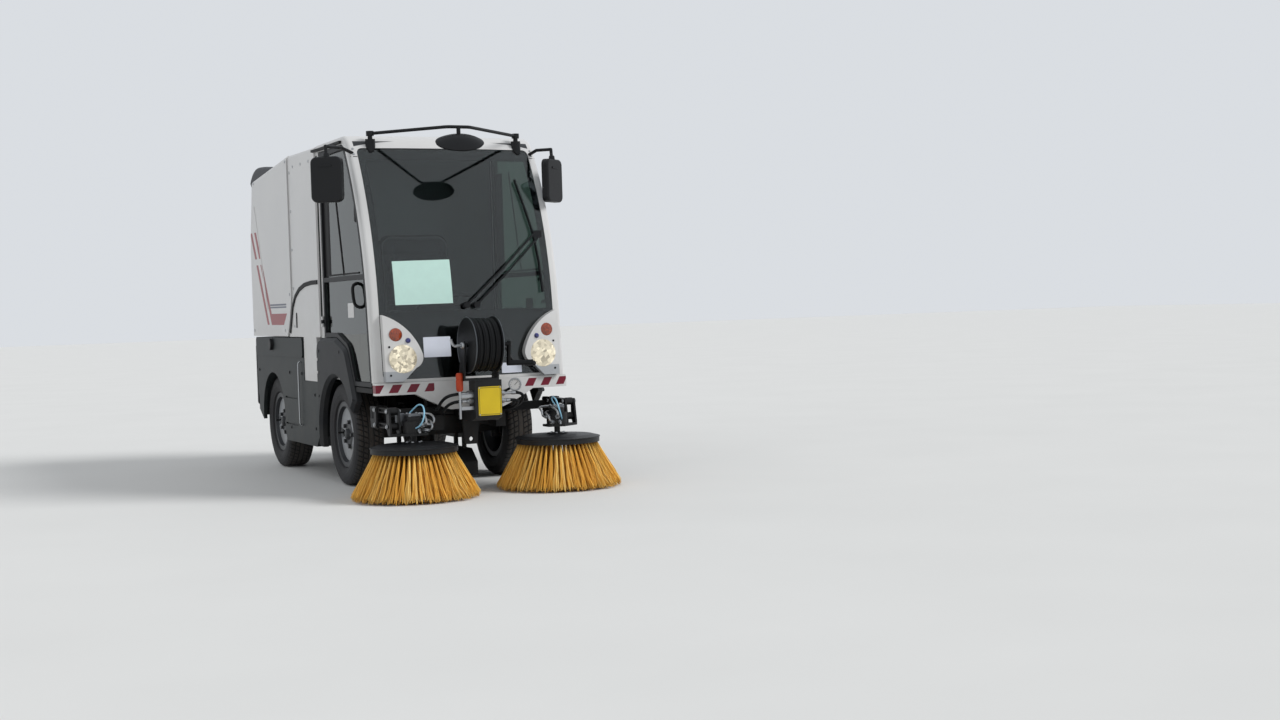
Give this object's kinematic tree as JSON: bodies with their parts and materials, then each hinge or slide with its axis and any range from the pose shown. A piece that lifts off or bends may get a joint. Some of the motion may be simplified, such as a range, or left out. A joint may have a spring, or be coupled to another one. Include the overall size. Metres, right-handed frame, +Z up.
{
  "type": "compact street sweeper truck",
  "caption": "Compact cab-over street sweeper with a tipping hopper, front brushes on lifting arms, a suction nozzle and a hose reel on the nose.",
  "frame": {"origin": "on the ground under the middle of the machine's bounding box", "axes": "+Y to the tail, +X to the machine's left, +Z up"},
  "size_m": [1.55, 3.279, 1.9669],
  "materials": {
    "white_paint": "gloss",
    "glass": "clear, green tint",
    "clear_lens": "clear",
    "amber_lens": "gloss",
    "red_lens": "gloss",
    "grey_plastic": "moulded grain",
    "black_plastic": "satin",
    "seat_cloth": "woven",
    "black_steel": "satin",
    "cast_block": "as cast",
    "hose_rubber": "matt",
    "bristle": "matt",
    "tyre": "matt",
    "rim_paint": "satin",
    "steel": "bright"
  },
  "bodies": {
    "root": {"chassis_frame": "black_steel", "engine_block": "cast_block", "front_axle": "black_steel", "rear_axle": "black_steel", "cab_shell": "white_paint", "windscreen": "glass", "cab_floor": "grey_plastic", "headlamp_pods": "white_paint", "headlamps": "clear_lens", "indicators": "amber_lens", "bumper": "white_paint", "dashboard": "black_plastic", "steering_wheel": "black_plastic", "driver_seat": "seat_cloth", "front_mudguards": "grey_plastic", "rear_cowl": "white_paint", "water_tanks": "grey_plastic", "tail_panel": "black_steel", "tail_lamps": "red_lens", "front_carrier": "black_steel", "reel_frame": "black_steel", "suction_nozzle": "black_steel", "suction_pipe": "black_steel", "side_mirrors": "black_plastic", "front_mirror": "black_plastic", "wiper": "black_plastic"},
    "reel": {"hose_reel": "hose_rubber"},
    "hopper": {"hopper_shell": "white_paint", "hopper_hood": "black_plastic"},
    "gate": {"tailgate": "white_paint"},
    "barrel": {"lift_barrel": "steel"},
    "rod": {"lift_rod": "steel"},
    "door_left": {"door_left": "black_steel", "door_glass_left": "glass"},
    "knuckle_left": {"knuckle_left": "black_steel"},
    "front_wheel_left": {"tyre_front_left": "tyre", "rim_front_left": "rim_paint"},
    "rear_wheel_left": {"tyre_rear_left": "tyre", "rim_rear_left": "rim_paint"},
    "brush_bracket_left": {"brush_bracket_left": "black_steel"},
    "brush_lower_left": {"brush_lower_arm_left": "black_steel"},
    "brush_upper_left": {"brush_upper_arm_left": "black_steel"},
    "brush_head_left": {"brush_head_left": "black_steel"},
    "brush_left": {"brush_disc_left": "black_plastic", "bristles_left": "bristle"},
    "door_right": {"door_right": "black_steel", "door_glass_right": "glass"},
    "knuckle_right": {"knuckle_right": "black_steel"},
    "front_wheel_right": {"tyre_front_right": "tyre", "rim_front_right": "rim_paint"},
    "rear_wheel_right": {"tyre_rear_right": "tyre", "rim_rear_right": "rim_paint"},
    "brush_bracket_right": {"brush_bracket_right": "black_steel"},
    "brush_lower_right": {"brush_lower_arm_right": "black_steel"},
    "brush_upper_right": {"brush_upper_arm_right": "black_steel"},
    "brush_head_right": {"brush_head_right": "black_steel"},
    "brush_right": {"brush_disc_right": "black_plastic", "bristles_right": "bristle"}
  },
  "joints": [
    {"name": "door_left_hinge", "type": "hinge", "parent": "root", "child": "door_left", "pos_m": [0.556, -0.158, 1.345], "axis": [0, 0, 1], "range_deg": [0, 75]},
    {"name": "steer_left", "type": "hinge", "parent": "root", "child": "knuckle_left", "pos_m": [0.395, -0.381, 0.29], "axis": [0, 0, 1], "range_deg": [-25, 25]},
    {"name": "front_wheel_left_spin", "type": "hinge", "parent": "knuckle_left", "child": "front_wheel_left", "pos_m": [0.4455, -0.381, 0.29], "axis": [1, 0, 0], "continuous": true},
    {"name": "rear_wheel_left_spin", "type": "hinge", "parent": "root", "child": "rear_wheel_left", "pos_m": [0.4455, 1.065, 0.29], "axis": [1, 0, 0], "continuous": true},
    {"name": "brush_left_swing", "type": "hinge", "parent": "root", "child": "brush_bracket_left", "pos_m": [0.5, -0.962, 0.432], "axis": [0, 0, 1], "range_deg": [-8, 25]},
    {"name": "brush_left_lift", "type": "hinge", "parent": "brush_bracket_left", "child": "brush_lower_left", "pos_m": [0.5, -1.024, 0.378], "axis": [-1, 0, 0], "range_deg": [0, 20]},
    {"name": "brush_left_upper", "type": "hinge", "parent": "brush_bracket_left", "child": "brush_upper_left", "pos_m": [0.5, -1.024, 0.458], "axis": [-1, 0, 0], "range_deg": [0, 20]},
    {"name": "brush_left_level", "type": "hinge", "parent": "brush_lower_left", "child": "brush_head_left", "pos_m": [0.5, -1.236, 0.378], "axis": [-1, 0, 0], "range_deg": [-20, 0]},
    {"name": "brush_left_spin", "type": "hinge", "parent": "brush_head_left", "child": "brush_left", "pos_m": [0.406, -1.286, 0.28], "axis": [0, 0, 1], "continuous": true},
    {"name": "door_right_hinge", "type": "hinge", "parent": "root", "child": "door_right", "pos_m": [-0.556, -0.158, 1.345], "axis": [0, 0, -1], "range_deg": [0, 75]},
    {"name": "steer_right", "type": "hinge", "parent": "root", "child": "knuckle_right", "pos_m": [-0.395, -0.381, 0.29], "axis": [0, 0, 1], "range_deg": [-25, 25]},
    {"name": "front_wheel_right_spin", "type": "hinge", "parent": "knuckle_right", "child": "front_wheel_right", "pos_m": [-0.4455, -0.381, 0.29], "axis": [1, 0, 0], "continuous": true},
    {"name": "rear_wheel_right_spin", "type": "hinge", "parent": "root", "child": "rear_wheel_right", "pos_m": [-0.4455, 1.065, 0.29], "axis": [1, 0, 0], "continuous": true},
    {"name": "brush_right_swing", "type": "hinge", "parent": "root", "child": "brush_bracket_right", "pos_m": [-0.5, -0.962, 0.432], "axis": [0, 0, -1], "range_deg": [-8, 25]},
    {"name": "brush_right_lift", "type": "hinge", "parent": "brush_bracket_right", "child": "brush_lower_right", "pos_m": [-0.5, -1.024, 0.378], "axis": [-1, 0, 0], "range_deg": [0, 20]},
    {"name": "brush_right_upper", "type": "hinge", "parent": "brush_bracket_right", "child": "brush_upper_right", "pos_m": [-0.5, -1.024, 0.458], "axis": [-1, 0, 0], "range_deg": [0, 20]},
    {"name": "brush_right_level", "type": "hinge", "parent": "brush_lower_right", "child": "brush_head_right", "pos_m": [-0.5, -1.236, 0.378], "axis": [-1, 0, 0], "range_deg": [-20, 0]},
    {"name": "brush_right_spin", "type": "hinge", "parent": "brush_head_right", "child": "brush_right", "pos_m": [-0.406, -1.286, 0.28], "axis": [0, 0, 1], "continuous": true},
    {"name": "reel_spin", "type": "hinge", "parent": "root", "child": "reel", "pos_m": [0, -1.331, 0.788], "axis": [1, 0, 0], "continuous": true},
    {"name": "hopper_tip", "type": "hinge", "parent": "root", "child": "hopper", "pos_m": [0, 1.48, 0.806], "axis": [-1, 0, 0], "range_deg": [0, 50]},
    {"name": "gate_swing", "type": "hinge", "parent": "hopper", "child": "gate", "pos_m": [0, 1.487, 1.655], "axis": [1, 0, 0], "range_deg": [0, 80]},
    {"name": "barrel_swing", "type": "hinge", "parent": "root", "child": "barrel", "pos_m": [0, 1.15, 0.352], "axis": [-1, 0, 0], "range_deg": [-4, 0]},
    {"name": "rod_slide", "type": "slide", "parent": "barrel", "child": "rod", "axis": [0, 0.444, 0.896], "range_m": [0, 0.1]}
  ],
  "couplings": [
    {"joint": "brush_left_upper", "follows": "brush_left_lift", "ratio": 1},
    {"joint": "brush_left_level", "follows": "brush_left_lift", "ratio": -1},
    {"joint": "brush_right_upper", "follows": "brush_right_lift", "ratio": 1},
    {"joint": "brush_right_level", "follows": "brush_right_lift", "ratio": -1},
    {"joint": "steer_right", "follows": "steer_left", "ratio": 1},
    {"joint": "barrel_swing", "follows": "hopper_tip", "ratio": -0.0342},
    {"joint": "rod_slide", "follows": "hopper_tip", "m_per_rad": 0.10298}
  ]
}
